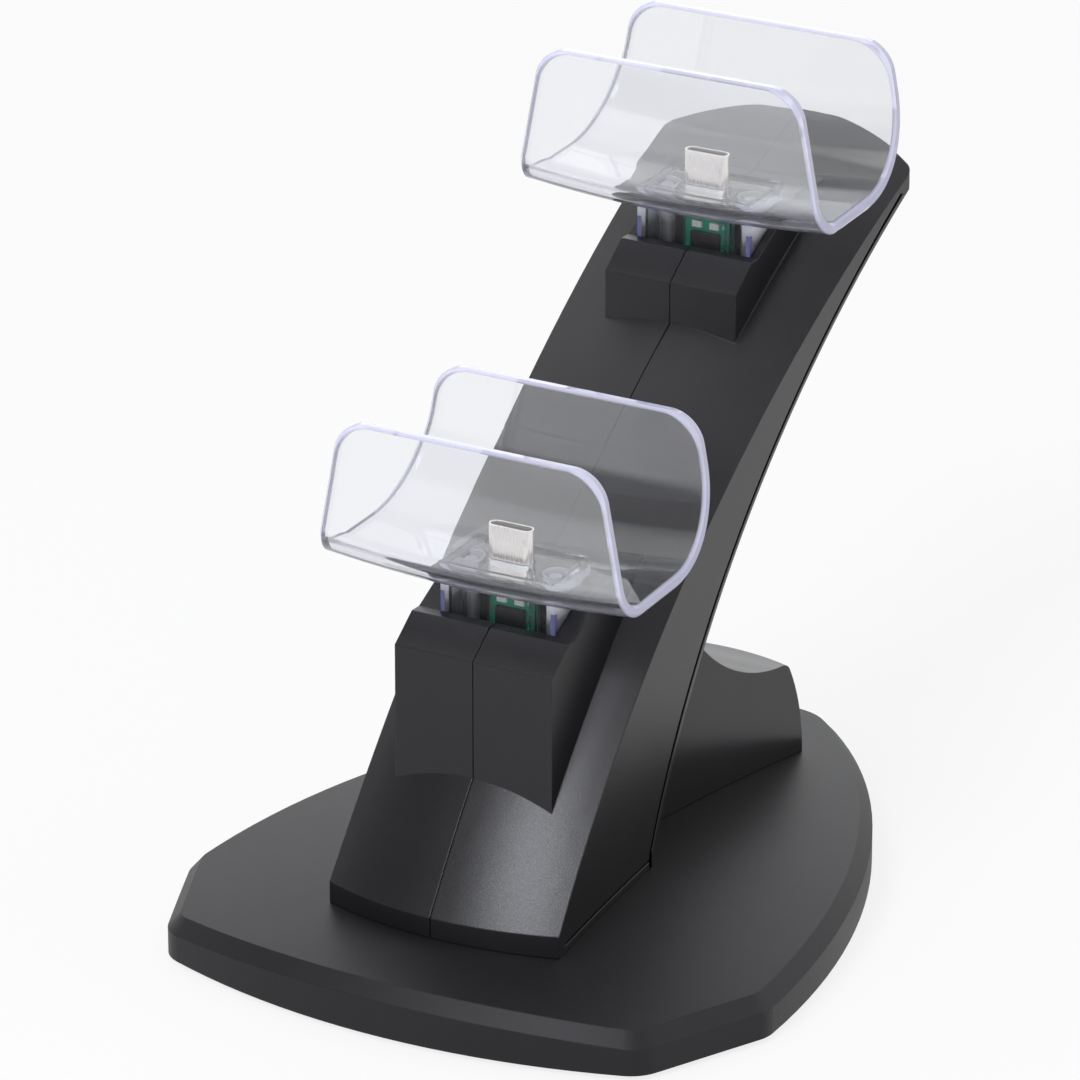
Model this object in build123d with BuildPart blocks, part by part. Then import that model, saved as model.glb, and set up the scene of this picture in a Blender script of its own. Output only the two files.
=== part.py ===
from build123d import *
import math
import os

# Base plate, seen from above: front arc, two short oblique corners, long side arcs and a round nose
base_width = 112.8
base_depth = 146.3
front_corner_inset = 10.4
front_arc_rise = 8.65
corner_facet_depth = 23.6
side_arc_rise = 13.7
nose_overrun = 4.94
nose_radius = 13.17
outline_corner_radius = 7.0
foot_gap = 1.0
base_wall = 2.2
edge_chamfer = 2.3

# Crown of the base's top: one radius across, another from front to back
crown_top = 12.35
crown_y = -13.85
crown_radius_across = 413.0
crown_radius_along = 650.0
crown_span = 70.0
crown_sweep = 12.0
crown_depth = 30.0
column_sink = 10.0

# Bottom plate, its screws and the rubber pads
plate_thickness = 1.6
plate_clearance = 0.15
pad_radius = 6.0
pad_recess = 0.6
pad_front_inset = (16.4, 27.15)
pad_rear_x = 12.0
pad_rear_inset = 23.15
plate_screw_front_inset = (28.4, 15.15)
plate_screw_rear_inset = (27.4, 51.15)
plate_boss_radius = 3.4
plate_screw_head_height = 0.8
plate_screw_recess = 0.7
plate_screw_length = 5.4

# Column: front and rear edges are arcs in side view that close to a thin blade at the tip
plinth_front_y = -50.35
plinth_top_z = 14.75
column_rear_y = -11.55
tip_front = (72.65, 116.75)
tip_rear = (73.75, 114.75)
front_edge_rise = 11.3
rear_edge_rise = 11.2
waist_half_width = 21.75
waist_z = 47.15
side_radius = 1000.0
side_draft = 0.105
face_crown_foot = 4.3
face_crown_middle = 1.9
face_crown_loss = 0.9
column_stations = 8
column_wall = 2.4
cavity_end_share = 0.84
tip_arch_y = 71.65
tip_arch_radius = 59.6
tip_plan_half = 23.9
tip_corner_radius = 2.0
seam_width = 0.2
seam_depth = 0.3
side_line_height = 1.3
side_line_width = 0.5
side_line_depth = 0.5
side_line_share = 0.125

# Rear cover of the column: a thin full-width skin on a narrower panel, so a groove runs round it
cover_skin = 1.2
cover_panel = 1.1
cover_groove_depth = 1.1
cover_end_share = 0.925
cover_gap_share = 0.0004
fit_gap = 0.05

# Brackets: the two stations share one shape and differ in width and depth
station_rise = (65.2, 46.3)
bracket_front_y = -40.65
bracket_top_z = 55.55
bracket_half_widths = (15.1, 12.7)
bracket_drops = (27.5, 16.0)
bracket_reach = 33.6
shoulder_run = 5.5
shoulder_rise = 4.2
rim_width = 2.3
cheek_rise = 5.8
cheek_angle = 28.0
pocket_depth = 5.0
ledge_thickness = 3.5
wire_slot = (9.0, 4.6)

# Clear cradles: a barrel-bottomed channel with a hollow stem under it
cradle_front_y = -42.35
cradle_depth = 33.7
cradle_floor_z = 66.4
cradle_floor_rise = 2.0
cradle_top_z = 93.95
cradle_wall = 2.2
cradle_front_radius = 6.0
cradle_rear_radius = 17.0
cradle_barrel_radius = 270.0
cradle_barrel_sweep = 7.0
cradle_top_length = 49.7
cradle_bottom_length = 60.2
cradle_top_corner = 6.5
cradle_rim_chamfer = 0.55
stem_width = 22.0
stem_depth = 12.8
stem_wall = 1.5
stem_gap = 0.15
stem_boss_x = 8.2
stem_boss_radius = 2.1
rail_width = 1.5
rail_depth = 3.4
rail_groove = 0.5

# Charging plug and its board
plug_y = -27.15
plug_width = 8.34
plug_thickness = 2.56
plug_wall = 0.28
plug_top_z = 75.45
plug_slot_gap = 0.25
insert_slot = (6.9, 0.9)
insert_slot_depth = 4.5
insert_recess = 0.15
board_width = 9.0
board_thickness = 1.0
board_below_floor = 2.65
board_clearance = 0.1
led_size = (1.8, 0.6, 1.1)
led_spacing = 3.4
led_drop = 1.5
chip_size = (5.4, 1.0, 5.2)
chip_drop = 5.4
joint_radius = 0.42
joint_height = 0.4
joint_pitch = 1.7
joint_count = 4
joint_x = 3.6

# Rear fin: flared plan, round back that curves forward, and a scooped top with a soft lip
fin_front_half = 8.4
fin_rear_half = 13.5
fin_front_y = -15.5
fin_rear_y = 51.7
fin_plan_radius = 40.8
fin_back_radius = 37.0
fin_back_sweep = 45.0
fin_lip_radius = 2.5
fin_bottom_z = 9.15
fin_top_z = 62.0
fin_wall = 2.0
scoop_y = 46.15
scoop_z = 67.45
scoop_radius = 40.0

# Power inlet and its board inside the fin
inlet_width = 8.94
inlet_height = 3.16
inlet_wall = 0.3
inlet_length = 7.0
inlet_mouth_y = 50.3
inlet_gap = 0.25
inlet_tongue = (6.7, 0.7)
inlet_tongue_recess = 0.6
inlet_tongue_root = 1.2
power_board_width = 16.0
power_board_length = 14.6
power_board_thickness = 1.2
power_board_z = 11.5
power_board_overhang = 3.4
board_post_radius = 1.5
board_post_height = 3.2
board_post_x = 6.0

# Screws and the bosses that take them
screw_radius = 1.45
screw_head_radius = 2.7
screw_head_height = 1.7
screw_length = 11.0
screw_gap = 0.05
boss_radius = 3.1
boss_pad_radius = 4.2
boss_pad_z = 6.6
column_boss_spots = ((17.0, -41.0), (14.0, -18.5))
column_boss_top = 21.0
fin_boss_spot = (7.4, 22.0)
fin_boss_top = 19.0
cradle_screw_radius = 1.05
cradle_screw_head_radius = 2.1
cradle_screw_head_height = 1.5
cradle_screw_engagement = 10.0
head_pocket_gap = 0.4
head_pocket_depth = 8.0
socket_across = 1.5
socket_depth = 0.9

# Inner leads from each charging board to the power board
lead_size = (1.8, 1.0)
lead_x = 2.0
lead_run_z = 6.4
lead_bend = 4.0
lead_step = 1.0
lower_lead_bends = (44.0, 22.0)
upper_lead_drop_z = 96.5
upper_lead_spots = ((13.0, 73.0), (-4.0, 56.0), (-17.0, 39.0), (-29.0, 20.0))
column_wire_hole = (14.0, 10.0)
column_wire_hole_y = -31.0
fin_wire_hole = (12.0, 8.0)
fin_wire_hole_y = 27.0

# Places worked out from the sizes above
front_corner_x = base_width / 2 - front_corner_inset
front_corner_y = -base_depth / 2 + front_arc_rise
side_corner_y = front_corner_y + corner_facet_depth
side_meeting_y = base_depth / 2 + nose_overrun
plate_top_z = foot_gap + plate_thickness
pad_spots = (
    (base_width / 2 - pad_front_inset[0], -base_depth / 2 + pad_front_inset[1]),
    (pad_rear_x, base_depth / 2 - pad_rear_inset),
)
plate_screw_spots = (
    (base_width / 2 - plate_screw_front_inset[0], -base_depth / 2 + plate_screw_front_inset[1]),
    (base_width / 2 - plate_screw_rear_inset[0], base_depth / 2 - plate_screw_rear_inset[1]),
)
rim_z = bracket_top_z + shoulder_rise
rim_inner_y = bracket_front_y + shoulder_run + rim_width
pocket_floor_z = rim_z - pocket_depth
stem_front_y = rim_inner_y + stem_gap
stem_y = stem_front_y + stem_depth / 2
stem_bottom_z = pocket_floor_z + fit_gap
board_top_z = cradle_floor_z - board_below_floor
board_bottom_z = stem_bottom_z + board_clearance
board_front_y = plug_y - board_thickness / 2
power_board_rear_y = inlet_mouth_y - power_board_overhang
power_board_front_y = power_board_rear_y - power_board_length
inlet_z = power_board_z + power_board_thickness + inlet_height / 2

os.makedirs("parts", exist_ok=True)


def station(index):
    """Shift of a bracket and cradle station: 0 is the lower one, 1 the upper one."""
    return index * station_rise[0], index * station_rise[1]


def both_sides(spots):
    """Spots given for the right side, repeated on the left."""
    return [(side * x, y) for x, y in spots for side in (-1, 1)]


def arc_point(start, end, rise, share):
    """Point at a share of the way along an arc that stands a rise above its chord."""
    chord = math.dist(start, end)
    radius = (chord**2 / 4 + rise**2) / (2 * rise)
    half_angle = math.asin(chord / 2 / radius)
    angle = (2 * share - 1) * half_angle
    along = chord / 2 + radius * math.sin(angle)
    above = radius * (math.cos(angle) - math.cos(half_angle))
    step_y = (end[0] - start[0]) / chord
    step_z = (end[1] - start[1]) / chord
    return start[0] + along * step_y - above * step_z, start[1] + along * step_z + above * step_y


def column_frame(share):
    """Section plane of the column at a share of its height, with its half width, depth and crown."""
    front = arc_point((plinth_front_y, plinth_top_z), tip_front, front_edge_rise, share)
    rear = arc_point((column_rear_y, plinth_top_z), tip_rear, rear_edge_rise, share)
    depth = math.dist(front, rear)
    normal = (0, front[1] - rear[1], rear[0] - front[0])
    plane = Plane(origin=(0, *front), x_dir=(1, 0, 0), z_dir=normal)
    half_width = waist_half_width + (front[1] - waist_z) ** 2 / (2 * side_radius)
    crown = face_crown_foot + face_crown_middle * math.sin(math.pi * share) - face_crown_loss * share
    return plane, half_width, depth, crown


def column_section(share, front_inset, side_inset, rear_inset):
    """Closed outline of the column: crowned front, drafted sides and a flat rear."""
    plane, half_width, depth, crown = column_frame(share)
    front_half = half_width - side_draft * front_inset - side_inset
    rear_half = half_width - side_draft * (depth - rear_inset) - side_inset
    rear = depth - rear_inset
    with BuildSketch(plane) as section:
        with BuildLine():
            ThreePointArc((-front_half, front_inset), (0, front_inset - crown), (front_half, front_inset))
            Polyline(
                (front_half, front_inset),
                (rear_half, rear),
                (-rear_half, rear),
                (-front_half, front_inset),
            )
        make_face()
    return section.sketch


def column_solid(last_share, front_inset=0.0, side_inset=0.0, rear_inset=0.0):
    """Column from the plinth's top to a share of its height, grown inwards by the insets."""
    shares = [last_share * number / (column_stations - 1) for number in range(column_stations)]
    with BuildPart() as solid:
        loft([column_section(share, front_inset, side_inset, rear_inset) for share in shares])
        extrude(column_section(0, front_inset, side_inset, rear_inset), amount=-column_sink)
    return solid.part


def rear_slab(last_share, steps):
    """Slab that follows the column's rear; each step is a depth under it and how far its sides are set in."""
    shares = [last_share * number / (column_stations - 1) for number in range(column_stations)]
    sections = []
    for share in shares:
        plane, half_width, depth, _ = column_frame(share)
        right = [(half_width - side_draft * (depth - under) - inset, depth - under) for under, inset in steps]
        left = [(-x, y) for x, y in reversed(right)]
        with BuildSketch(plane) as section:
            with BuildLine():
                Polyline(*right, *left, close=True)
            make_face()
        sections.append(section.sketch)
    with BuildPart() as slab:
        loft(sections)
        extrude(sections[0], amount=-column_sink)
    return slab.part


def crown_solid(drop):
    """Everything under the base's crowned top, lowered by a drop."""
    lean = math.radians(crown_sweep)
    hinge = (0, crown_y, crown_top - drop - crown_radius_along)
    start = Plane(origin=hinge, x_dir=(1, 0, 0), z_dir=(0, -math.cos(lean), math.sin(lean)))
    top = crown_radius_along
    edge = top - crown_span**2 / (2 * crown_radius_across)
    with BuildPart() as crown:
        with BuildSketch(start):
            with BuildLine():
                ThreePointArc((-crown_span, edge), (0, top), (crown_span, edge))
                Polyline(
                    (crown_span, edge),
                    (crown_span, top - crown_depth),
                    (-crown_span, top - crown_depth),
                    (-crown_span, edge),
                )
            make_face()
        revolve(axis=Axis(hinge, (1, 0, 0)), revolution_arc=2 * crown_sweep)
    return crown.part


def base_outline(inset):
    """Plan outline of the base, moved inwards by an inset."""
    with BuildSketch() as outline:
        with BuildLine():
            SagittaArc((-front_corner_x, front_corner_y), (front_corner_x, front_corner_y),
                       -front_arc_rise)
            Line((front_corner_x, front_corner_y), (base_width / 2, side_corner_y))
            SagittaArc((base_width / 2, side_corner_y), (0, side_meeting_y), -side_arc_rise)
            SagittaArc((0, side_meeting_y), (-base_width / 2, side_corner_y), -side_arc_rise)
            Line((-base_width / 2, side_corner_y), (-front_corner_x, front_corner_y))
        make_face()
        front_region = side_corner_y + outline_corner_radius
        corners = outline.vertices().filter_by_position(Axis.Y, -base_depth / 2, front_region)
        fillet(corners, outline_corner_radius)
        fillet(outline.vertices().sort_by(Axis.Y)[-1], nose_radius)
        if inset:
            offset(amount=-inset, mode=Mode.REPLACE)
    return outline.sketch


def screw(head_z, spots, radius, head_radius, head_height, length):
    """Screws that point up, each with its head's upper face at one height."""
    with BuildPart() as screws:
        with Locations(*[(x, y, head_z) for x, y in spots]):
            Cylinder(head_radius, head_height, align=(Align.CENTER, Align.CENTER, Align.MAX))
            Cylinder(radius, length, align=(Align.CENTER, Align.CENTER, Align.MIN))
    return screws.part


def base_cavity():
    """Hollow inside the base cover."""
    with BuildPart() as cavity:
        with BuildSketch(Plane.XY.offset(foot_gap)):
            add(base_outline(base_wall))
        extrude(amount=crown_depth)
        add(crown_solid(base_wall), mode=Mode.INTERSECT)
    return cavity.part


def under_crown(spots, radius, bottom_z):
    """Round bosses that hang from the base's top down to one height."""
    with BuildPart() as bosses:
        with Locations(*[(x, y, bottom_z) for x, y in spots]):
            Cylinder(radius, crown_depth, align=(Align.CENTER, Align.CENTER, Align.MIN))
        add(crown_solid(base_wall / 2), mode=Mode.INTERSECT)
    return bosses.part


def bracket_solid(index, inset=0.0):
    """Bracket in side view: upright face, sloping shoulder, level rim and rising cheeks."""
    shift_y, shift_z = station(index)
    front = bracket_front_y + shift_y
    top = bracket_top_z + shift_z
    shoulder_y = front + shoulder_run
    rim_y = shoulder_y + rim_width
    cheek_y = rim_y + cheek_rise / math.tan(math.radians(cheek_angle))
    cheek_z = top + shoulder_rise + cheek_rise
    with BuildPart() as bracket:
        with BuildSketch(Plane.YZ):
            with BuildLine():
                Polyline(
                    (front, top - bracket_drops[index]),
                    (front, top),
                    (shoulder_y, top + shoulder_rise),
                    (rim_y, top + shoulder_rise),
                    (cheek_y, cheek_z),
                    (front + bracket_reach, cheek_z),
                    close=True,
                )
            make_face()
            if inset:
                offset(amount=-inset, kind=Kind.INTERSECTION, mode=Mode.REPLACE)
        extrude(amount=bracket_half_widths[index], both=True)
    return bracket.part


def column_outer():
    """Column and brackets as one closed shape, with an arched tip and a foot that fits the base."""
    arch_drop = tip_arch_radius - math.sqrt(tip_arch_radius**2 - tip_plan_half**2)
    with BuildPart() as outer:
        add(column_solid(1.0))
        for index in range(2):
            add(bracket_solid(index))
        with BuildSketch() as plan:
            with BuildLine():
                ThreePointArc((-tip_plan_half, tip_arch_y - arch_drop), (0, tip_arch_y),
                              (tip_plan_half, tip_arch_y - arch_drop))
                Polyline(
                    (tip_plan_half, tip_arch_y - arch_drop),
                    (tip_plan_half, -base_depth / 2),
                    (-tip_plan_half, -base_depth / 2),
                    (-tip_plan_half, tip_arch_y - arch_drop),
                )
            make_face()
            fillet(plan.vertices().group_by(Axis.Y)[-1], tip_corner_radius)
        extrude(amount=2 * tip_front[1], mode=Mode.INTERSECT)
        add(crown_solid(-fit_gap), mode=Mode.SUBTRACT)
    return outer.part


def column_cavity():
    """Hollow inside the column, with the pocket floors and the foot bosses left standing."""
    ledge_length = stem_depth + 2 * stem_gap + 2 * column_wall
    with BuildPart() as cavity:
        add(column_solid(cavity_end_share, column_wall, column_wall))
        for index in range(2):
            shift_y, shift_z = station(index)
            ledge_z = pocket_floor_z - ledge_thickness + shift_z
            with Locations((0, rim_inner_y - column_wall + shift_y, ledge_z)):
                Box(2 * bracket_half_widths[index], ledge_length, tip_front[1],
                    align=(Align.CENTER, Align.MIN, Align.MIN), mode=Mode.SUBTRACT)
        with Locations(*[(x, y, 0) for x, y in both_sides(column_boss_spots)]):
            Cylinder(boss_radius, column_boss_top, align=(Align.CENTER, Align.CENTER, Align.MIN),
                     mode=Mode.SUBTRACT)
    return cavity.part


def seam_groove():
    """Shallow groove down the front of the column and its brackets, where the halves meet."""
    with BuildPart() as groove:
        Box(seam_width, 2 * base_depth, 2 * (cradle_top_z + station_rise[1]))
        add(column_solid(1.0, front_inset=seam_depth, rear_inset=-cover_skin), mode=Mode.SUBTRACT)
        for index in range(2):
            add(bracket_solid(index, seam_depth), mode=Mode.SUBTRACT)
    return groove.part


def side_lines():
    """Fine groove along both sides of the column's foot, just above the base."""
    with BuildPart() as lines:
        add(crown_solid(-side_line_height - side_line_width))
        add(crown_solid(-side_line_height), mode=Mode.SUBTRACT)
        add(column_solid(side_line_share, -column_wall, side_line_depth, -column_wall), mode=Mode.SUBTRACT)
        with Locations((0, plinth_front_y + column_wall, 0)):
            Box(base_width, base_depth, crown_depth, align=(Align.CENTER, Align.MAX, Align.MIN),
                mode=Mode.SUBTRACT)
    return lines.part


def column_shell():
    """Both column halves in one, ready to be split down the middle."""
    with BuildPart() as shell:
        add(column_outer())
        add(column_cavity(), mode=Mode.SUBTRACT)
        room = [(cover_skin + cover_panel + fit_gap, -column_wall), (-cover_skin, -column_wall)]
        add(rear_slab(cover_end_share + cover_gap_share, room), mode=Mode.SUBTRACT)
        add(seam_groove(), mode=Mode.SUBTRACT)
        add(side_lines(), mode=Mode.SUBTRACT)
        with Locations(*[(x, y, 0) for x, y in both_sides(column_boss_spots)]):
            Cylinder(screw_radius + screw_gap, boss_pad_z + screw_length + screw_gap,
                     align=(Align.CENTER, Align.CENTER, Align.MIN), mode=Mode.SUBTRACT)
        for index in range(2):
            shift_y, shift_z = station(index)
            floor = pocket_floor_z + shift_z
            with Locations((0, rim_inner_y + shift_y, floor)):
                Box(stem_width + 2 * stem_gap, stem_depth + 2 * stem_gap, base_depth,
                    align=(Align.CENTER, Align.MIN, Align.MIN), mode=Mode.SUBTRACT)
            with Locations((0, plug_y + shift_y, floor)):
                Box(*wire_slot, head_pocket_depth + ledge_thickness,
                    align=(Align.CENTER, Align.CENTER, Align.MAX), mode=Mode.SUBTRACT)
            screw_xs = (-stem_boss_x, stem_boss_x)
            with Locations(*[(x, stem_y + shift_y, floor) for x in screw_xs]):
                Cylinder(cradle_screw_radius + screw_gap, 2 * ledge_thickness, mode=Mode.SUBTRACT)
            with Locations(*[(x, stem_y + shift_y, floor - ledge_thickness) for x in screw_xs]):
                Cylinder(cradle_screw_head_radius + head_pocket_gap, head_pocket_depth,
                         align=(Align.CENTER, Align.CENTER, Align.MAX), mode=Mode.SUBTRACT)
    return shell.part


def fin_back(inset):
    """Round body that gives the fin its back: upright at the foot and curving forward above it."""
    axis_y = fin_rear_y - fin_plan_radius
    rear = fin_rear_y - inset
    low_z = fin_bottom_z - column_sink
    with BuildPart() as back:
        with BuildSketch(Plane.YZ):
            with BuildLine():
                curve = CenterArc((rear - fin_back_radius, fin_bottom_z), fin_back_radius, 0, fin_back_sweep)
                Polyline(
                    curve @ 1,
                    ((curve @ 1).X, fin_top_z),
                    (axis_y, fin_top_z),
                    (axis_y, low_z),
                    (rear, low_z),
                    curve @ 0,
                )
            make_face()
        revolve(axis=Axis((0, axis_y, 0), (0, 0, 1)))
    return back.part


def fin_solid(inset):
    """Rear fin before trimming: flared sides, round back and a scooped top."""
    flare = (fin_rear_half - fin_front_half) / (fin_rear_y - fin_front_y)
    front_half = fin_front_half - inset
    far_y = fin_rear_y + fin_plan_radius
    far_half = front_half + flare * (far_y - fin_front_y)
    with BuildPart() as fin:
        with BuildSketch(Plane.XY.offset(fin_bottom_z - column_sink / 2)):
            with BuildLine():
                Polyline((far_half, far_y), (front_half, fin_front_y), (-front_half, fin_front_y),
                         (-far_half, far_y), close=True)
            make_face()
        extrude(amount=fin_top_z)
        add(fin_back(inset), mode=Mode.INTERSECT)
        with Locations(Location((0, scoop_y, scoop_z), (0, 90, 0))):
            Cylinder(scoop_radius + inset, base_width, mode=Mode.SUBTRACT)
    return fin.part


def fin_hollow():
    """Hollow inside the fin, with its two screw bosses left standing."""
    with BuildPart() as hollow:
        add(fin_solid(fin_wall))
        with Locations(*[(x, y, 0) for x, y in both_sides([fin_boss_spot])]):
            Cylinder(boss_radius, fin_boss_top, align=(Align.CENTER, Align.CENTER, Align.MIN),
                     mode=Mode.SUBTRACT)
    return hollow.part


def cradle_section(inset):
    """Channel outline from front wall to rear wall, closed across its top."""
    rear_y = cradle_front_y + cradle_depth
    with BuildSketch() as outline:
        with BuildLine():
            Polyline(
                (cradle_front_y + inset, cradle_floor_z + inset),
                (rear_y - inset, cradle_floor_z + cradle_floor_rise + inset),
                (rear_y - inset, cradle_top_z + cradle_wall),
                (cradle_front_y + inset, cradle_top_z + cradle_wall),
                close=True,
            )
        make_face()
        fillet(outline.vertices().group_by(Axis.X)[0].sort_by(Axis.Y)[0], cradle_front_radius - inset)
        fillet(outline.vertices().group_by(Axis.X)[-1].sort_by(Axis.Y)[0], cradle_rear_radius - inset)
    return outline.sketch


def cradle_rim(channel):
    """Edges round the open top and ends of the channel, two along each lip."""
    lip_faces = ShapeList()
    for face in channel.faces():
        middle = face.center()
        at_end = abs(middle.X) > cradle_top_length / 2 - cradle_top_corner
        at_top = middle.Z > cradle_top_z - cradle_rim_chamfer
        if at_end or at_top:
            lip_faces.append(face)
    edges = [edge for face in lip_faces for edge in face.edges()]
    return [edge for edge in edges if edges.count(edge) == 1]


def cradle_solid():
    """Clear channel with slanted ends, and the hollow stem that carries the plug's board."""
    board_slot = (board_width + 2 * board_clearance, board_thickness + 2 * board_clearance)
    stem_height = cradle_floor_z + cradle_wall - stem_bottom_z
    hollow_height = cradle_floor_z - stem_bottom_z
    rail_x = board_width / 2 - rail_groove + rail_width / 2
    with BuildPart() as cradle:
        with BuildSketch(Plane.YZ) as channel:
            add(cradle_section(0))
            add(cradle_section(cradle_wall), mode=Mode.SUBTRACT)
        hinge = Axis((0, 0, cradle_floor_z + cradle_barrel_radius), (0, 1, 0))
        revolve(axis=hinge, revolution_arc=cradle_barrel_sweep)
        mirror(about=Plane.YZ)
        with BuildSketch(Plane.XZ) as ends:
            with BuildLine():
                Polyline(
                    (-cradle_bottom_length / 2, cradle_floor_z),
                    (cradle_bottom_length / 2, cradle_floor_z),
                    (cradle_top_length / 2, cradle_top_z),
                    (-cradle_top_length / 2, cradle_top_z),
                    close=True,
                )
            make_face()
            fillet(ends.vertices().group_by(Axis.Y)[-1], cradle_top_corner)
        extrude(amount=base_depth, both=True, mode=Mode.INTERSECT)
        chamfer(cradle_rim(cradle.part), cradle_rim_chamfer)
        with Locations((0, stem_y, stem_bottom_z)):
            Box(stem_width, stem_depth, stem_height, align=(Align.CENTER, Align.CENTER, Align.MIN))
            Box(stem_width - 2 * stem_wall, stem_depth - 2 * stem_wall, hollow_height,
                align=(Align.CENTER, Align.CENTER, Align.MIN), mode=Mode.SUBTRACT)
        with Locations((-rail_x, plug_y, stem_bottom_z), (rail_x, plug_y, stem_bottom_z)):
            Box(rail_width, rail_depth, stem_height, align=(Align.CENTER, Align.CENTER, Align.MIN))
        with Locations((-stem_boss_x, stem_y, stem_bottom_z), (stem_boss_x, stem_y, stem_bottom_z)):
            Cylinder(stem_boss_radius, stem_height, align=(Align.CENTER, Align.CENTER, Align.MIN))
            Cylinder(cradle_screw_radius + screw_gap, cradle_screw_engagement + screw_gap,
                     align=(Align.CENTER, Align.CENTER, Align.MIN), mode=Mode.SUBTRACT)
        with Locations((0, plug_y, stem_bottom_z)):
            Box(*board_slot, hollow_height, align=(Align.CENTER, Align.CENTER, Align.MIN), mode=Mode.SUBTRACT)
        with BuildSketch(Plane.XY.offset(cradle_floor_z - cradle_wall)):
            with Locations((0, plug_y)):
                SlotOverall(plug_width + 2 * plug_slot_gap, plug_thickness + 2 * plug_slot_gap)
        extrude(amount=3 * cradle_wall, mode=Mode.SUBTRACT)
    return cradle.part


def lead(side, route):
    """Flat two-core lead along a route given in side view."""
    points = [(side * lead_x, y, z) for y, z in route]
    with BuildPart() as wire:
        with BuildLine() as path:
            FilletPolyline(*points, radius=lead_bend)
        with BuildSketch(path.line ^ 0):
            Rectangle(*lead_size)
        sweep()
    return wire.part


# Base cover
with BuildPart() as base_cover:
    with BuildSketch(Plane.XY.offset(foot_gap)):
        add(base_outline(0))
    extrude(amount=crown_depth)
    add(crown_solid(0), mode=Mode.INTERSECT)
    chamfer(base_cover.faces().sort_by(Axis.Z)[-1].edges(), edge_chamfer)
    add(base_cavity(), mode=Mode.SUBTRACT)
    add(under_crown(both_sides(plate_screw_spots), plate_boss_radius, plate_top_z))
    add(under_crown(both_sides([*column_boss_spots, fin_boss_spot]), boss_pad_radius, boss_pad_z))
    post_ys = (power_board_front_y + board_post_radius, power_board_rear_y - board_post_radius)
    with Locations(*[(x, y, power_board_z) for x in (-board_post_x, board_post_x) for y in post_ys]):
        Cylinder(board_post_radius, board_post_height, align=(Align.CENTER, Align.CENTER, Align.MAX))
    with Locations(*[(x, y, plate_top_z) for x, y in both_sides(plate_screw_spots)]):
        Cylinder(screw_radius + screw_gap, plate_screw_length, align=(Align.CENTER, Align.CENTER, Align.MIN),
                 mode=Mode.SUBTRACT)
    with Locations(*[(x, y, 0) for x, y in both_sides([*column_boss_spots, fin_boss_spot])]):
        Cylinder(screw_radius + screw_gap, crown_depth, mode=Mode.SUBTRACT)
    with Locations((0, column_wire_hole_y, crown_top)):
        Box(*column_wire_hole, 4 * base_wall, mode=Mode.SUBTRACT)
    with Locations((0, fin_wire_hole_y, crown_top)):
        Box(*fin_wire_hole, 4 * base_wall, mode=Mode.SUBTRACT)
base_cover.part.label = "base_cover"
export_step(base_cover.part, "parts/base_cover.step")

# Bottom plate
with BuildPart() as bottom_plate:
    with BuildSketch(Plane.XY.offset(foot_gap)):
        add(base_outline(base_wall + plate_clearance))
    extrude(amount=plate_thickness)
    with Locations(*[(x, y, foot_gap) for x, y in both_sides(pad_spots)]):
        Cylinder(pad_radius, 2 * pad_recess, mode=Mode.SUBTRACT)
    with Locations(*[(x, y, foot_gap) for x, y in both_sides(plate_screw_spots)]):
        Cylinder(screw_head_radius + screw_gap, 2 * plate_screw_recess, mode=Mode.SUBTRACT)
        Cylinder(screw_radius + screw_gap, 3 * plate_thickness, mode=Mode.SUBTRACT)
bottom_plate.part.label = "bottom_plate"
export_step(bottom_plate.part, "parts/bottom_plate.step")

# Rubber pads
with BuildPart() as rubber_pads:
    with Locations(*[(x, y, 0) for x, y in both_sides(pad_spots)]):
        Cylinder(pad_radius - fit_gap, foot_gap + pad_recess, align=(Align.CENTER, Align.CENTER, Align.MIN))
rubber_pads.part.label = "rubber_pads"
export_step(rubber_pads.part, "parts/rubber_pads.step")

# Plate screws
with BuildPart() as plate_screws:
    head_z = foot_gap + plate_screw_recess
    add(screw(head_z, both_sides(plate_screw_spots), screw_radius, screw_head_radius, plate_screw_head_height,
              plate_screw_length))
    with Locations(*[(x, y, head_z - plate_screw_head_height) for x, y in both_sides(plate_screw_spots)]):
        Cylinder(socket_across / 2, 2 * socket_depth, mode=Mode.SUBTRACT)
plate_screws.part.label = "plate_screws"
export_step(plate_screws.part, "parts/plate_screws.step")

# Column halves
shell = column_shell()
with BuildPart() as column_left:
    add(shell)
    split(bisect_by=Plane.YZ, keep=Keep.BOTTOM)
column_left.part.label = "column_left"
export_step(column_left.part, "parts/column_left.step")

with BuildPart() as column_right:
    add(shell)
    split(bisect_by=Plane.YZ, keep=Keep.TOP)
column_right.part.label = "column_right"
export_step(column_right.part, "parts/column_right.step")

# Column rear cover
with BuildPart() as column_rear_cover:
    panel_steps = [(cover_skin + cover_panel, cover_groove_depth), (cover_skin, cover_groove_depth)]
    skin_steps = [(cover_skin, 0), (0, 0)]
    add(rear_slab(cover_end_share, panel_steps + skin_steps))
    add(crown_solid(-fit_gap), mode=Mode.SUBTRACT)
column_rear_cover.part.label = "column_rear_cover"
export_step(column_rear_cover.part, "parts/column_rear_cover.step")

# Screws that hold the column and the fin to the base
with BuildPart() as column_screws:
    add(screw(boss_pad_z, both_sides(column_boss_spots), screw_radius, screw_head_radius, screw_head_height,
              screw_length))
column_screws.part.label = "column_screws"
export_step(column_screws.part, "parts/column_screws.step")

with BuildPart() as fin_screws:
    add(screw(boss_pad_z, both_sides([fin_boss_spot]), screw_radius, screw_head_radius, screw_head_height,
              screw_length))
fin_screws.part.label = "fin_screws"
export_step(fin_screws.part, "parts/fin_screws.step")

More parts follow.
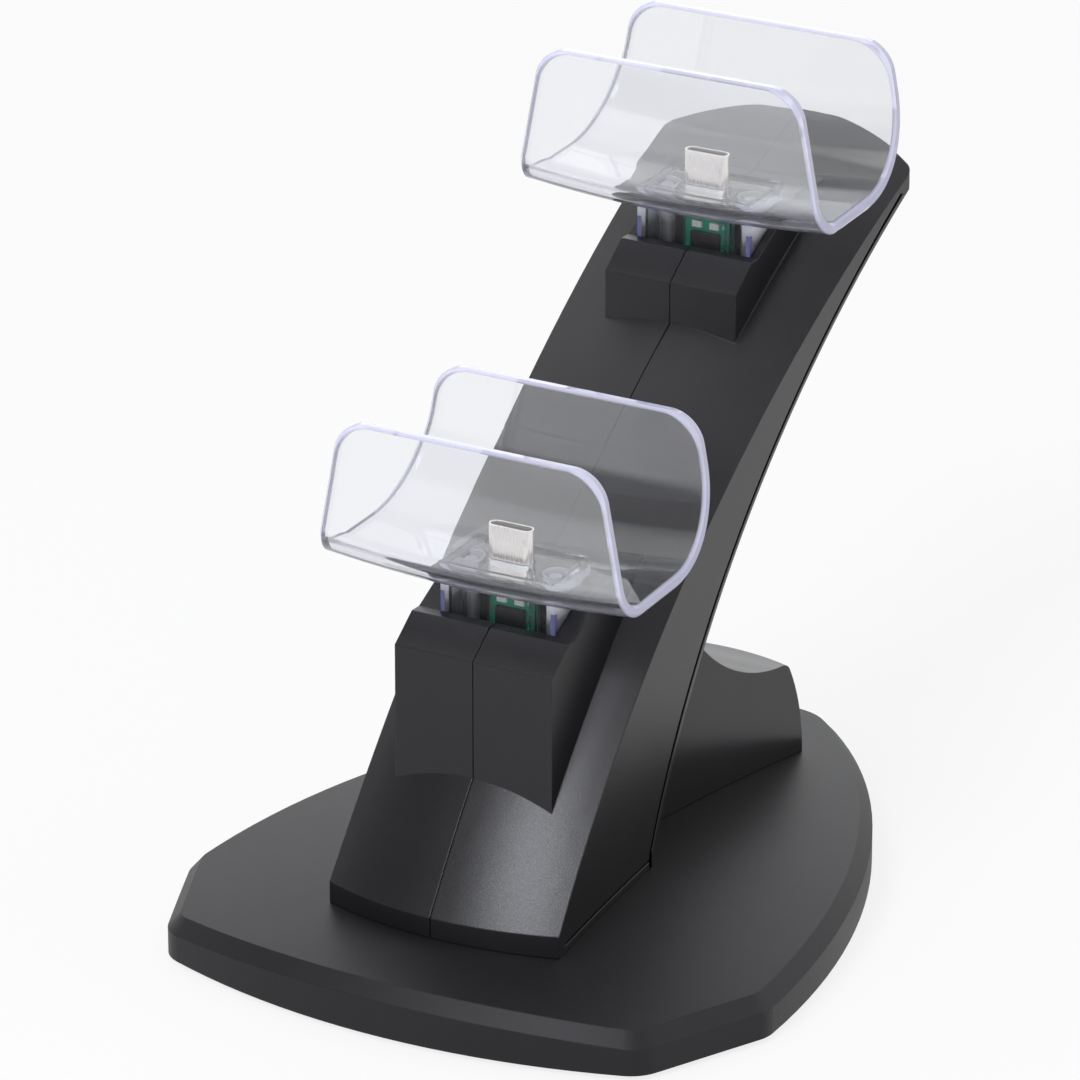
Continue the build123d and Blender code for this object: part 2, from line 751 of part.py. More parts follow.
# Rear fin
with BuildPart() as rear_fin:
    add(fin_solid(0))
    lip_z = scoop_z - scoop_radius
    lip = rear_fin.edges().filter_by_position(Axis.Z, lip_z - fin_lip_radius, lip_z + fin_lip_radius)
    fillet(lip.sort_by(Axis.Y)[-1], fin_lip_radius)
    add(fin_hollow(), mode=Mode.SUBTRACT)
    add(column_solid(1.0, rear_inset=-fit_gap), mode=Mode.SUBTRACT)
    add(crown_solid(-fit_gap), mode=Mode.SUBTRACT)
    with Locations(*[(x, y, 0) for x, y in both_sides([fin_boss_spot])]):
        Cylinder(screw_radius + screw_gap, boss_pad_z + screw_length + screw_gap,
                 align=(Align.CENTER, Align.CENTER, Align.MIN), mode=Mode.SUBTRACT)
    with BuildSketch(Plane.XZ.offset(-power_board_rear_y + inlet_length / 2)):
        with Locations((0, inlet_z)):
            SlotOverall(inlet_width + 2 * inlet_gap, inlet_height + 2 * inlet_gap)
    extrude(amount=-2 * inlet_length, mode=Mode.SUBTRACT)
rear_fin.part.label = "rear_fin"
export_step(rear_fin.part, "parts/rear_fin.step")

# Power board and inlet socket
with BuildPart() as power_board:
    with Locations((0, power_board_front_y, power_board_z)):
        Box(power_board_width, power_board_length, power_board_thickness,
            align=(Align.CENTER, Align.MIN, Align.MIN))
power_board.part.label = "power_board"
export_step(power_board.part, "parts/power_board.step")

with BuildPart() as inlet_shell:
    with BuildSketch(Plane.XZ.offset(-inlet_mouth_y)):
        with Locations((0, inlet_z)):
            SlotOverall(inlet_width, inlet_height)
            SlotOverall(inlet_width - 2 * inlet_wall, inlet_height - 2 * inlet_wall, mode=Mode.SUBTRACT)
    extrude(amount=inlet_length)
inlet_shell.part.label = "inlet_shell"
export_step(inlet_shell.part, "parts/inlet_shell.step")

with BuildPart() as inlet_tongue_piece:
    with BuildSketch(Plane.XZ.offset(-inlet_mouth_y + inlet_length)):
        with Locations((0, inlet_z)):
            SlotOverall(inlet_width - 2 * inlet_wall, inlet_height - 2 * inlet_wall)
    extrude(amount=-inlet_tongue_root)
    with BuildSketch(Plane.XZ.offset(-inlet_mouth_y + inlet_length)):
        with Locations((0, inlet_z)):
            Rectangle(*inlet_tongue)
    extrude(amount=-inlet_length + inlet_tongue_recess)
inlet_tongue_piece.part.label = "inlet_tongue"
export_step(inlet_tongue_piece.part, "parts/inlet_tongue.step")

# Leads inside the column and the base
power_end = (power_board_front_y, power_board_z + power_board_thickness / 2)
base_route = [
    (column_wire_hole_y, lead_run_z),
    (fin_wire_hole_y - lead_step, lead_run_z),
    (fin_wire_hole_y + lead_step, power_end[1]),
    power_end,
]
upper_y, upper_z = station(1)
lower_route = [
    (plug_y, board_bottom_z),
    (plug_y, lower_lead_bends[0]),
    (column_wire_hole_y, lower_lead_bends[1]),
    *base_route,
]
upper_route = [
    (plug_y + upper_y, board_bottom_z + upper_z),
    (plug_y + upper_y, upper_lead_drop_z),
    *upper_lead_spots,
    *base_route,
]

with BuildPart() as lead_lower:
    add(lead(-1, lower_route))
lead_lower.part.label = "lead_lower"
export_step(lead_lower.part, "parts/lead_lower.step")

with BuildPart() as lead_upper:
    add(lead(1, upper_route))
lead_upper.part.label = "lead_upper"
export_step(lead_upper.part, "parts/lead_upper.step")

# Cradles, plugs and charging boards, one set for each station
for index, level in enumerate(("lower", "upper")):
    shift_y, shift_z = station(index)
    place = Location((0, shift_y, shift_z))

    with BuildPart() as cradle:
        add(cradle_solid().moved(place))
    cradle.part.label = f"cradle_{level}"
    export_step(cradle.part, f"parts/cradle_{level}.step")

    with BuildPart() as plug_shell:
        with BuildSketch(Plane.XY.offset(board_top_z + shift_z)):
            with Locations((0, plug_y + shift_y)):
                SlotOverall(plug_width, plug_thickness)
                SlotOverall(plug_width - 2 * plug_wall, plug_thickness - 2 * plug_wall, mode=Mode.SUBTRACT)
        extrude(amount=plug_top_z - board_top_z)
    plug_shell.part.label = f"plug_shell_{level}"
    export_step(plug_shell.part, f"parts/plug_shell_{level}.step")

    with BuildPart() as plug_insert:
        with BuildSketch(Plane.XY.offset(board_top_z + shift_z)):
            with Locations((0, plug_y + shift_y)):
                SlotOverall(plug_width - 2 * plug_wall, plug_thickness - 2 * plug_wall)
        extrude(amount=plug_top_z - insert_recess - board_top_z)
        with Locations((0, plug_y + shift_y, plug_top_z - insert_recess + shift_z)):
            Box(*insert_slot, insert_slot_depth, align=(Align.CENTER, Align.CENTER, Align.MAX),
                mode=Mode.SUBTRACT)
    plug_insert.part.label = f"plug_insert_{level}"
    export_step(plug_insert.part, f"parts/plug_insert_{level}.step")

    with BuildPart() as charge_board:
        with Locations((0, plug_y + shift_y, board_bottom_z + shift_z)):
            Box(board_width, board_thickness, board_top_z - board_bottom_z,
                align=(Align.CENTER, Align.CENTER, Align.MIN))
    charge_board.part.label = f"charge_board_{level}"
    export_step(charge_board.part, f"parts/charge_board_{level}.step")

    with BuildPart() as board_leds:
        with Locations(*[(x, board_front_y + shift_y, board_top_z - led_drop + shift_z)
                         for x in (-led_spacing / 2, led_spacing / 2)]):
            Box(*led_size, align=(Align.CENTER, Align.MAX, Align.CENTER))
    board_leds.part.label = f"board_leds_{level}"
    export_step(board_leds.part, f"parts/board_leds_{level}.step")

    with BuildPart() as board_chip:
        with Locations((0, board_front_y + shift_y, board_top_z - chip_drop + shift_z)):
            Box(*chip_size, align=(Align.CENTER, Align.MAX, Align.CENTER))
    board_chip.part.label = f"board_chip_{level}"
    export_step(board_chip.part, f"parts/board_chip_{level}.step")

    with BuildPart() as solder_joints:
        heights = [board_top_z - led_drop - number * joint_pitch + shift_z for number in range(joint_count)]
        with Locations(*[Location((joint_x, board_front_y + shift_y, z), (90, 0, 0)) for z in heights]):
            Cylinder(joint_radius, joint_height, align=(Align.CENTER, Align.CENTER, Align.MIN))
    solder_joints.part.label = f"solder_joints_{level}"
    export_step(solder_joints.part, f"parts/solder_joints_{level}.step")

    with BuildPart() as cradle_screws:
        spots = [(side * stem_boss_x, stem_y + shift_y) for side in (-1, 1)]
        head_z = pocket_floor_z - ledge_thickness + shift_z
        add(screw(head_z, spots, cradle_screw_radius, cradle_screw_head_radius, cradle_screw_head_height,
                  ledge_thickness + cradle_screw_engagement))
    cradle_screws.part.label = f"cradle_screws_{level}"
    export_step(cradle_screws.part, f"parts/cradle_screws_{level}.step")
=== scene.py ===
import bpy
import math
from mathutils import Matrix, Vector

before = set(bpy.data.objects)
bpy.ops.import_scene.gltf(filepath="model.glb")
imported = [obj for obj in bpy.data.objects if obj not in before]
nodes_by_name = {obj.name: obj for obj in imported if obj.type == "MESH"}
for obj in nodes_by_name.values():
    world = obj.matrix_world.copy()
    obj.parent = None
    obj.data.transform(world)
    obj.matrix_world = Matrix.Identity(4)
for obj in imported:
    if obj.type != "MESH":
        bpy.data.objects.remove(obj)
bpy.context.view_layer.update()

# Camera: where it looks, how far off it is and its lens
camera_target = Vector((0.0, -0.01885, 0.06976))
camera_azimuth = math.radians(30.55)
camera_elevation = math.radians(21.64)
camera_distance = 1.1984
camera_lens = 239.97
camera_sensor = 36.0

# World, floor and lamps: light levels, and the soft grey areas that only glossy surfaces mirror
white = (1.0, 1.0, 1.0, 1.0)
world_fill = 0.55
world_white = 1.0
floor_colour = (0.88, 0.88, 0.88, 1.0)
floor_roughness = 0.9
floor_white_share = 0.82
floor_half_size = 20.0
panel_direction = (-0.62, -0.62, 0.48)
panel_span = (0.82, 0.93)
panel_white = 0.30
card_direction = (0.5, 0.866, 0.0)
card_span = (0.6, 0.9)
card_white = 0.72
lamp_colour = (0.96, 0.985, 1.0)
lamp_aim = (0.0, 0.0, 0.06)

# Noise: its roughness, and the range that most of its values lie in
noise_roughness = 0.55
noise_range = (0.3, 0.7)

# Moulded black plastic: colours, and the sizes in metres of its grain, clouding and edge rounding
black_colour = (0.0055, 0.0055, 0.0064, 1.0)
black_light_colour = (0.0082, 0.0082, 0.0093, 1.0)
black_sheen_tint = (0.95, 0.94, 1.0, 1.0)
grain_size = 0.00026
cloud_size = 0.018
edge_softness = 0.0003
edge_samples = 6

# Nickel plating: colours, how finely it is drawn along each axis, roughness and edge rounding
nickel_colours = ((0.95, 0.88, 0.81, 1.0), (1.0, 0.95, 0.88, 1.0))
nickel_streaks = (9000.0, 9000.0, 350.0)
nickel_roughness = (0.16, 0.30)
nickel_edge_softness = 0.00012

# Small parts: the two near colours of each finish
board_colours = ((0.004, 0.30, 0.16, 1.0), (0.02, 0.46, 0.27, 1.0))
insert_colours = ((0.012, 0.012, 0.013, 1.0), (0.025, 0.025, 0.027, 1.0))
led_colours = ((0.86, 0.86, 0.80, 1.0), (0.95, 0.95, 0.90, 1.0))
solder_colours = ((0.62, 0.62, 0.64, 1.0), (0.82, 0.82, 0.84, 1.0))
screw_colours = ((0.42, 0.42, 0.43, 1.0), (0.58, 0.58, 0.60, 1.0))
rubber_colours = ((0.018, 0.018, 0.018, 1.0), (0.035, 0.035, 0.035, 1.0))
jacket_colours = ((0.03, 0.03, 0.03, 1.0), (0.06, 0.06, 0.06, 1.0))

# Clear cradles: the lower one's outline, stem and bosses, and the upper one's shift to the rear and up
cradle_bottom_half = 0.0301
cradle_top_half = 0.02485
cradle_floor_z = 0.0664
cradle_top_z = 0.09395
cradle_front_y = -0.04235
cradle_top_corner = 0.0065
cradle_barrel_radius = 0.270
plug_row_y = -0.02715
stem_middle_y = -0.0263
stem_inner_half = 0.0095
stem_half_width = 0.0110
stem_half_depth = 0.0064
boss_x = 0.0082
boss_radius = 0.0023
upper_shift = (0.0652, 0.0463)

# Clear cradles: colours, with painted highlights along the lips, front corner and stem, clearness and how
# they bend light
wall_colour = (0.925, 0.93, 0.95, 1.0)
floor_tint = (0.88, 0.885, 0.91, 1.0)
# Painted highlight along the lips in lavender, with a painted darker shade at their inner side
lip_highlight_colour = (0.74, 0.74, 0.96, 1.0)
lip_inner_shade_colour = (0.40, 0.40, 0.62, 1.0)
# Painted glow on the stem's side walls and screw bosses
stem_glow_colour = (0.86, 0.87, 0.96, 1.0)
# Painted blue highlight down each upright edge of the stem
stem_edge_highlight_colour = (0.30, 0.32, 0.66, 1.0)
depth_tint = (0.2, 0.2, 0.75, 1.0)
depth_tint_density = 6.0
lower_clearness = 0.965
upper_clearness = 0.915
# Clearness of the plastic under its painted highlights
highlight_clearness = 0.30
stem_clearness = 0.992
# Share of the painted stem-edge highlight in the plastic's paleness
stem_edge_highlight_share = 0.6
# Strength of the painted glow on the stem, from low down to just under the channel's floor
stem_glow_low = 0.10
stem_glow_high = 1.0
# Strength of the painted highlight along the front lower corner
corner_glow = 0.5
wall_ior = 1.49
stem_ior = 1.20
coat_ior = 1.55
coat_roughness = 0.01
clear_roughness = 0.02
ripple_size = 0.012
ripple_depth = 0.00002
ripple_strength = 0.5

# Clear cradles: heights at which the look changes
front_coat_z = 0.0715
rear_coat_lower = 0.0803
rear_coat_upper = 0.0735
coat_blend = 0.0008
floor_tint_end = (cradle_floor_z + 0.004, cradle_floor_z + 0.007)
stem_glow_rise = (cradle_floor_z - 0.005, cradle_floor_z - 0.002)
stem_glow_end = cradle_floor_z + 0.0001
stem_edge_end = cradle_floor_z - 0.003
stem_top = (cradle_floor_z - 0.0004, cradle_floor_z - 0.0002)

# Clear cradles: distances from an edge over which a painted highlight line along it fades in
lip_highlight_span = (-0.00065, -0.00035)
lip_highlight_colour_span = (-0.0006, -0.0002)
corner_highlight_span = (0.0038, 0.0027)
stem_side_span = (stem_inner_half - 0.0002, stem_inner_half)
stem_edge_highlight_span = (-0.0009, -0.0007)


def new_material(name):
    """Node material, with its node tree and its Principled shader."""
    material = bpy.data.materials.new(name)
    material.use_nodes = True
    tree = material.node_tree
    shader = tree.nodes["Principled BSDF"]
    return material, tree, shader


def feed(tree, socket, value):
    """Links a node's output to an input, or sets the input to a plain value."""
    if isinstance(value, bpy.types.NodeSocket):
        tree.links.new(value, socket)
    else:
        socket.default_value = value


def add_node(tree, kind, **values):
    """Adds a node and sets its properties and inputs."""
    node = tree.nodes.new(kind)
    for key, value in values.items():
        if key in node.inputs:
            feed(tree, node.inputs[key], value)
        else:
            setattr(node, key, value)
    return node


def math_node(tree, operation, *values):
    """One arithmetic step between node outputs or plain numbers."""
    step = add_node(tree, "ShaderNodeMath", operation=operation)
    for socket, value in zip(step.inputs, values):
        feed(tree, socket, value)
    return step.outputs["Value"]


def hypotenuse(tree, first, second):
    """Length across two offsets at right angles."""
    first_square = math_node(tree, "POWER", first, 2.0)
    second_square = math_node(tree, "POWER", second, 2.0)
    return math_node(tree, "SQRT", math_node(tree, "ADD", first_square, second_square))


def span(tree, value, low_in, high_in, low_out, high_out):
    """Maps a value from one range to another."""
    mapped = add_node(tree, "ShaderNodeMapRange", Value=value)
    mapped.inputs["From Min"].default_value = low_in
    mapped.inputs["From Max"].default_value = high_in
    mapped.inputs["To Min"].default_value = low_out
    mapped.inputs["To Max"].default_value = high_out
    return mapped.outputs["Result"]


def mix_colours(tree, share, first, second):
    """Blends two colours by a share."""
    mixed = add_node(tree, "ShaderNodeMix", data_type="RGBA")
    feed(tree, mixed.inputs[0], share)
    feed(tree, mixed.inputs[6], first)
    feed(tree, mixed.inputs[7], second)
    return mixed.outputs[2]


def mix_shaders(tree, share, first, second):
    """Blends two shaders by a share."""
    mixed = add_node(tree, "ShaderNodeMixShader", Fac=share)
    tree.links.new(first, mixed.inputs[1])
    tree.links.new(second, mixed.inputs[2])
    return mixed.outputs["Shader"]


def object_noise(tree, size, detail=2.0):
    """Noise in the object's own space, with features of a size in metres."""
    place = add_node(tree, "ShaderNodeTexCoord").outputs["Object"]
    noise = add_node(tree, "ShaderNodeTexNoise", Vector=place, Scale=1.0 / size, Detail=detail,
                     Roughness=noise_roughness)
    return noise.outputs["Fac"]


def soft_edges(tree, radius):
    """Direction of the surface, with its edges rounded by a radius."""
    bevel = add_node(tree, "ShaderNodeBevel", samples=edge_samples, Radius=radius)
    return bevel.outputs["Normal"]


def moulded_black(name, grain_depth, rough_low, rough_high, gloss):
    """Spark-textured black plastic: fine grain in the surface, softened edges and a faint cloudiness."""
    material, tree, shader = new_material(name)
    grain = object_noise(tree, grain_size)
    cloud = object_noise(tree, cloud_size, detail=3.0)
    cloud_share = span(tree, cloud, *noise_range, 0.0, 1.0)
    colour = mix_colours(tree, cloud_share, black_colour, black_light_colour)
    bump = add_node(tree, "ShaderNodeBump", Strength=1.0, Distance=grain_depth, Height=grain,
                    Normal=soft_edges(tree, edge_softness))
    feed(tree, shader.inputs["Base Color"], colour)
    feed(tree, shader.inputs["Roughness"], span(tree, grain, *noise_range, rough_low, rough_high))
    feed(tree, shader.inputs["Normal"], bump.outputs["Normal"])
    feed(tree, shader.inputs["Specular IOR Level"], gloss)
    feed(tree, shader.inputs["Specular Tint"], black_sheen_tint)
    return material


def cradle_place(tree, shift_y, shift_z):
    """Place of a point of a cradle as if on the lower one: x, y and z."""
    place = add_node(tree, "ShaderNodeTexCoord").outputs["Object"]
    local = add_node(tree, "ShaderNodeMapping", Vector=place, Location=(0.0, -shift_y, -shift_z))
    axes = add_node(tree, "ShaderNodeSeparateXYZ", Vector=local.outputs["Vector"])
    return axes.outputs


def wall_gloss(tree, y, z, rear_coat_z):
    """Share of gloss: full on the walls, and none on the floor and the stem."""
    at_rear = math_node(tree, "GREATER_THAN", y, plug_row_y)
    coat_z = span(tree, at_rear, 0.0, 1.0, front_coat_z, rear_coat_z)
    return span(tree, math_node(tree, "SUBTRACT", z, coat_z), 0.0, coat_blend, 0.0, 1.0)


def rim_depth(tree, x, z):
    """How far a point lies inside the channel's slanted and rounded outline, below zero."""
    slant = (cradle_top_half - cradle_bottom_half) / (cradle_top_z - cradle_floor_z)
    half = math_node(tree, "MULTIPLY_ADD", z, slant, cradle_bottom_half - slant * cradle_floor_z)
    inner_half = math_node(tree, "SUBTRACT", half, cradle_top_corner)
    past_end = math_node(tree, "SUBTRACT", math_node(tree, "ABSOLUTE", x), inner_half)
    past_top = math_node(tree, "SUBTRACT", z, cradle_top_z - cradle_top_corner)
    beyond_end = math_node(tree, "MAXIMUM", past_end, 0.0)
    beyond_top = math_node(tree, "MAXIMUM", past_top, 0.0)
    outside = hypotenuse(tree, beyond_end, beyond_top)
    inside = math_node(tree, "MINIMUM", math_node(tree, "MAXIMUM", past_end, past_top), 0.0)
    return math_node(tree, "SUBTRACT", math_node(tree, "ADD", outside, inside), cradle_top_corner)


def stem_glow(tree, x, y, z):
    """Painted glow on the stem's side walls and screw bosses, strongest just under the channel's floor."""
    strength = span(tree, z, *stem_glow_rise, stem_glow_low, stem_glow_high)
    across = math_node(tree, "ABSOLUTE", x)
    side = span(tree, across, *stem_side_span, 0.0, 1.0)
    from_boss_x = math_node(tree, "SUBTRACT", across, boss_x)
    from_boss_y = math_node(tree, "SUBTRACT", y, stem_middle_y)
    boss = math_node(tree, "LESS_THAN", hypotenuse(tree, from_boss_x, from_boss_y), boss_radius)
    below = math_node(tree, "LESS_THAN", z, stem_glow_end)
    parts = math_node(tree, "MULTIPLY", math_node(tree, "MAXIMUM", side, boss), below)
    return math_node(tree, "MULTIPLY", parts, strength)


def stem_edge_highlight_line(tree, x, y, z):
    """Painted blue highlight line down each upright edge of the stem."""
    across = math_node(tree, "ABSOLUTE", x)
    along = math_node(tree, "ABSOLUTE", math_node(tree, "SUBTRACT", y, stem_middle_y))
    past_x = math_node(tree, "SUBTRACT", across, stem_half_width)
    past_y = math_node(tree, "SUBTRACT", along, stem_half_depth)
    edge = span(tree, math_node(tree, "MINIMUM", past_x, past_y), *stem_edge_highlight_span, 0.0, 1.0)
    return math_node(tree, "MULTIPLY", edge, math_node(tree, "LESS_THAN", z, stem_edge_end))


def front_corner_glow(tree, x, y, z):
    """Painted pale highlight along the channel's front lower corner, which rises with the floor towards
    the ends.
    """
    barrel = math_node(tree, "MULTIPLY", math_node(tree, "POWER", x, 2.0), 0.5 / cradle_barrel_radius)
    above = math_node(tree, "SUBTRACT", math_node(tree, "SUBTRACT", z, cradle_floor_z), barrel)
    behind = math_node(tree, "SUBTRACT", y, cradle_front_y)
    return span(tree, hypotenuse(tree, above, behind), *corner_highlight_span, 0.0, corner_glow)


def plain_and_edge_highlight_colour(tree, z, depth, edge_highlight_share):
    """Colour of the channel: a greyer floor, clear walls, and a painted lavender highlight along its
    edges.
    """
    above_floor = span(tree, z, *floor_tint_end, 0.0, 1.0)
    plain_colour = mix_colours(tree, above_floor, floor_tint, wall_colour)
    outermost = span(tree, depth, *lip_highlight_colour_span, 0.0, 1.0)
    edge_highlight_colour = mix_colours(tree, outermost, lip_inner_shade_colour, lip_highlight_colour)
    return mix_colours(tree, edge_highlight_share, plain_colour, edge_highlight_colour)


def hazed_clearness(tree, gloss, pale, wall_clearness):
    """Share of light let through: that of the wall or the stem, less where the painted highlights make the
    plastic look pale.
    """
    plain = span(tree, gloss, 0.0, 1.0, stem_clearness, wall_clearness)
    haze = math_node(tree, "MULTIPLY", pale, math_node(tree, "SUBTRACT", plain, highlight_clearness))
    return math_node(tree, "SUBTRACT", plain, haze)


def clear_plastic(level, shift_y, shift_z, rear_coat_z, wall_clearness):
    """Clear moulded plastic, a little milky, with painted lavender highlights on the lips where light
    gathers in the edges.
    """
    material, tree, shader = new_material(f"clear_plastic_{level}")
    x, y, z = cradle_place(tree, shift_y, shift_z)
    gloss = wall_gloss(tree, y, z, rear_coat_z)
    depth = rim_depth(tree, x, z)
    # Painted highlights along the lips and along the front lower corner
    lip_highlight = span(tree, depth, *lip_highlight_span, 0.0, 1.0)
    edge_highlight_share = math_node(tree, "MAXIMUM", lip_highlight, front_corner_glow(tree, x, y, z))
    # Painted glow on the stem's side walls and screw bosses
    stem = stem_glow(tree, x, y, z)
    # Painted blue highlight lines down the stem's edges
    stem_edge_highlight = stem_edge_highlight_line(tree, x, y, z)
    colour = plain_and_edge_highlight_colour(tree, z, depth, edge_highlight_share)
    colour = mix_colours(tree, stem, colour, stem_glow_colour)
    colour = mix_colours(tree, stem_edge_highlight, colour, stem_edge_highlight_colour)
    # Paleness from the painted highlights, which makes the plastic less clear
    pale = math_node(tree, "MAXIMUM", edge_highlight_share, stem)
    pale = math_node(tree, "MAXIMUM", pale, math_node(tree, "MULTIPLY", stem_edge_highlight, stem_edge_highlight_share))
    ripple = add_node(tree, "ShaderNodeBump", Strength=ripple_strength, Distance=ripple_depth,
                      Height=object_noise(tree, ripple_size))
    absorb = add_node(tree, "ShaderNodeVolumeAbsorption", Density=depth_tint_density, Color=depth_tint)
    feed(tree, shader.inputs["Base Color"], colour)
    feed(tree, shader.inputs["Roughness"], clear_roughness)
    feed(tree, shader.inputs["Transmission Weight"], hazed_clearness(tree, gloss, pale, wall_clearness))
    feed(tree, shader.inputs["IOR"], span(tree, z, *stem_top, stem_ior, wall_ior))
    feed(tree, shader.inputs["Coat Weight"], gloss)
    feed(tree, shader.inputs["Coat Roughness"], coat_roughness)
    feed(tree, shader.inputs["Coat IOR"], coat_ior)
    feed(tree, shader.inputs["Normal"], ripple.outputs["Normal"])
    feed(tree, tree.nodes["Material Output"].inputs["Volume"], absorb.outputs["Volume"])
    return material


def nickel():
    """Nickel-plated sheet, finely drawn along its height."""
    material, tree, shader = new_material("nickel_plated")
    place = add_node(tree, "ShaderNodeTexCoord").outputs["Object"]
    stretch = add_node(tree, "ShaderNodeMapping", Vector=place, Scale=nickel_streaks)
    noise = add_node(tree, "ShaderNodeTexNoise", Vector=stretch.outputs["Vector"], Scale=1.0, Detail=2.0)
    streaks = noise.outputs["Fac"]
    feed(tree, shader.inputs["Base Color"], mix_colours(tree, streaks, *nickel_colours))
    feed(tree, shader.inputs["Roughness"], span(tree, streaks, *noise_range, *nickel_roughness))
    feed(tree, shader.inputs["Normal"], soft_edges(tree, nickel_edge_softness))
    feed(tree, shader.inputs["Metallic"], 1.0)
    return material


def speckled(name, colours, size, rough_low, rough_high, metallic=0.0):
    """Plain small-part finish: two near colours in a fine noise, with matching gloss changes."""
    material, tree, shader = new_material(name)
    noise = object_noise(tree, size)
    feed(tree, shader.inputs["Base Color"], mix_colours(tree, noise, *colours))
    feed(tree, shader.inputs["Roughness"], span(tree, noise, *noise_range, rough_low, rough_high))
    feed(tree, shader.inputs["Metallic"], metallic)
    return material


def paint(material, *names):
    """Gives nodes of the dock a material."""
    for name in names:
        mesh = nodes_by_name[name].data
        mesh.materials.clear()
        mesh.materials.append(material)


def both_levels(*names):
    """Names of the lower and the upper one of each kind."""
    return [f"{name}_{level}" for name in names for level in ("lower", "upper")]


# Materials of the dock
paint(moulded_black("black_column", grain_depth=0.000014, rough_low=0.30, rough_high=0.36, gloss=0.435),
      "column_left", "column_right")
paint(moulded_black("black_base", grain_depth=0.000008, rough_low=0.44, rough_high=0.50, gloss=0.325),
      "base_cover", "bottom_plate")
paint(moulded_black("black_rear", grain_depth=0.000004, rough_low=0.21, rough_high=0.27, gloss=0.58),
      "column_rear_cover", "rear_fin")
paint(clear_plastic("lower", 0.0, 0.0, rear_coat_lower, lower_clearness), "cradle_lower")
paint(clear_plastic("upper", *upper_shift, rear_coat_upper, upper_clearness), "cradle_upper")
paint(nickel(), *both_levels("plug_shell"), "inlet_shell")
paint(speckled("board_laminate", board_colours, size=0.0005, rough_low=0.25, rough_high=0.4),
      *both_levels("charge_board"), "power_board")
paint(speckled("insert_black", insert_colours, size=0.0004, rough_low=0.4, rough_high=0.6),
      *both_levels("plug_insert", "board_chip"), "inlet_tongue")
paint(speckled("lamp_white", led_colours, size=0.0006, rough_low=0.15, rough_high=0.3),
      *both_levels("board_leds"))
paint(speckled("solder_bright", solder_colours, size=0.0003, rough_low=0.2, rough_high=0.35, metallic=1.0),
      *both_levels("solder_joints"))
paint(speckled("screw_steel", screw_colours, size=0.0005, rough_low=0.3, rough_high=0.5, metallic=1.0),
      "plate_screws", "column_screws", "fin_screws", *both_levels("cradle_screws"))
paint(speckled("pad_rubber", rubber_colours, size=0.0008, rough_low=0.7, rough_high=0.9), "rubber_pads")
paint(speckled("lead_jacket", jacket_colours, size=0.001, rough_low=0.5, rough_high=0.65),
      *both_levels("lead"))


def white_to_eye(tree, plain, bright):
    """Shows one shader to camera, mirror and clear-plastic rays, and the other to all other light."""
    path = add_node(tree, "ShaderNodeLightPath")
    seen = path.outputs["Is Camera Ray"]
    for kind in ("Is Glossy Ray", "Is Transmission Ray"):
        seen = math_node(tree, "MAXIMUM", seen, path.outputs[kind])
    return mix_shaders(tree, seen, plain, bright)


def nearness(tree, direction, aim):
    """How nearly a direction points along an aim, up to one."""
    product = add_node(tree, "ShaderNodeVectorMath", operation="DOT_PRODUCT")
    feed(tree, product.inputs[0], direction)
    feed(tree, product.inputs[1], aim)
    return product.outputs["Value"]


def floor_white(tree):
    """White of the floor, with a soft grey card at the rear right in what glossy surfaces mirror."""
    bearing = add_node(tree, "ShaderNodeVectorMath", operation="NORMALIZE")
    feed(tree, bearing.inputs[0], add_node(tree, "ShaderNodeTexCoord").outputs["Object"])
    near_card = nearness(tree, bearing.outputs["Vector"], card_direction)
    card_shade = span(tree, near_card, *card_span, 0.0, world_white - card_white)
    path = add_node(tree, "ShaderNodeLightPath")
    mirrored_shade = math_node(tree, "MULTIPLY", card_shade, path.outputs["Is Glossy Ray"])
    strength = math_node(tree, "SUBTRACT", world_white, mirrored_shade)
    return add_node(tree, "ShaderNodeEmission", Strength=strength).outputs["Emission"]


def floor_paint():
    """Matte pale floor that looks nearly white."""
    material, tree, shader = new_material("floor_pale")
    feed(tree, shader.inputs["Base Color"], floor_colour)
    feed(tree, shader.inputs["Roughness"], floor_roughness)
    feed(tree, shader.inputs["Specular IOR Level"], 0.0)
    matte = shader.outputs["BSDF"]
    whitened = mix_shaders(tree, floor_white_share, matte, floor_white(tree))
    surface = white_to_eye(tree, matte, whitened)
    feed(tree, tree.nodes["Material Output"].inputs["Surface"], surface)
    return material


# Floor
floor_mesh = bpy.data.meshes.new("floor")
floor_sides = ((-1, -1), (1, -1), (1, 1), (-1, 1))
floor_corners = [(floor_half_size * x, floor_half_size * y, 0) for x, y in floor_sides]
floor_mesh.from_pydata(floor_corners, [], [(0, 1, 2, 3)])
floor_mesh.materials.append(floor_paint())
floor = bpy.data.objects.new("floor", floor_mesh)
bpy.context.scene.collection.objects.link(floor)

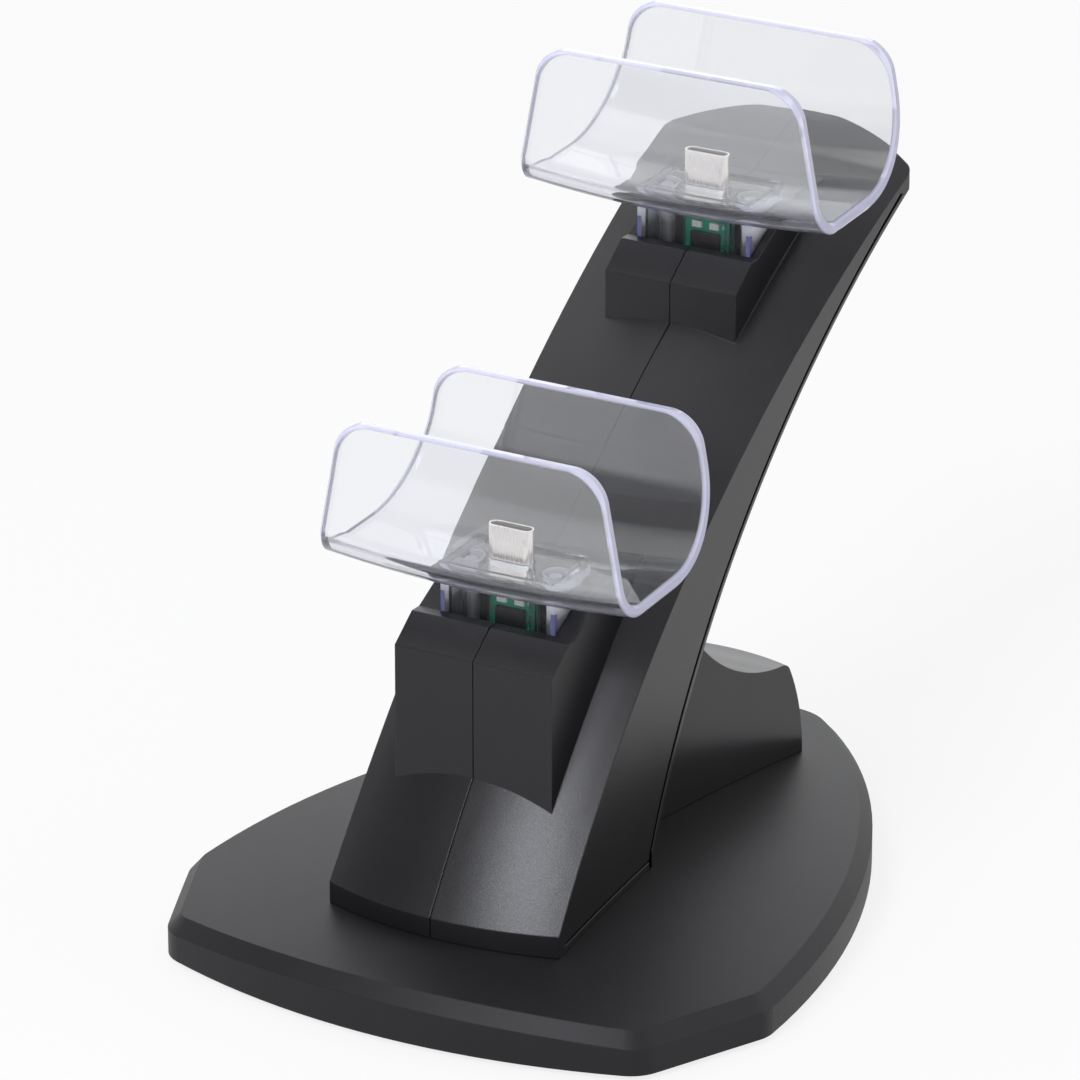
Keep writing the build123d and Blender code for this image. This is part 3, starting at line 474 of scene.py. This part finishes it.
# World: white to the eye, with a soft dark panel at the front left in what glossy surfaces mirror
world = bpy.data.worlds.new("studio")
bpy.context.scene.world = world
world.use_nodes = True
world_tree = world.node_tree
world_direction = add_node(world_tree, "ShaderNodeTexCoord").outputs["Generated"]
near_panel = nearness(world_tree, world_direction, Vector(panel_direction).normalized())
panel_strength = span(world_tree, near_panel, *panel_span, world_white, panel_white)
fill = world_tree.nodes["Background"]
feed(world_tree, fill.inputs["Color"], white)
feed(world_tree, fill.inputs["Strength"], world_fill)
bright = add_node(world_tree, "ShaderNodeBackground", Color=white, Strength=world_white)
mirrored = add_node(world_tree, "ShaderNodeBackground", Color=white, Strength=panel_strength)
plain_world = white_to_eye(world_tree, fill.outputs["Background"], bright.outputs["Background"])
glossy_ray = add_node(world_tree, "ShaderNodeLightPath").outputs["Is Glossy Ray"]
surroundings = mix_shaders(world_tree, glossy_ray, plain_world, mirrored.outputs["Background"])
feed(world_tree, world_tree.nodes["World Output"].inputs["Surface"], surroundings)


def softbox(name, place, width, height, power):
    """Rectangular studio lamp that faces the dock's middle."""
    lamp = bpy.data.lights.new(name, "AREA")
    lamp.shape = "RECTANGLE"
    lamp.size = width
    lamp.size_y = height
    lamp.energy = power
    lamp.color = lamp_colour
    holder = bpy.data.objects.new(name, lamp)
    holder.location = place
    holder.rotation_euler = (Vector(lamp_aim) - Vector(place)).to_track_quat("-Z", "Y").to_euler()
    bpy.context.scene.collection.objects.link(holder)


# Lamps
softbox("key_front", place=(-0.04, -1.07, 0.97), width=0.5, height=0.4, power=9.6)
softbox("back_wide", place=(-0.75, 2.0, 0.85), width=2.2, height=1.0, power=6.4)
softbox("overhead", place=(-0.72, 0.08, 1.40), width=1.4, height=1.2, power=2.4)
softbox("rim_right", place=(1.1, 0.7, 0.6), width=0.6, height=0.8, power=2.2)

# Camera
camera_data = bpy.data.cameras.new("camera")
camera_data.lens = camera_lens
camera_data.sensor_width = camera_sensor
camera = bpy.data.objects.new("camera", camera_data)
away = Vector((
    math.sin(camera_azimuth) * math.cos(camera_elevation),
    -math.cos(camera_azimuth) * math.cos(camera_elevation),
    math.sin(camera_elevation),
))
camera.location = camera_target + camera_distance * away
camera.rotation_euler = (-away).to_track_quat("-Z", "Y").to_euler()
bpy.context.scene.collection.objects.link(camera)
bpy.context.scene.camera = camera
bpy.context.scene.view_settings.view_transform = "Standard"
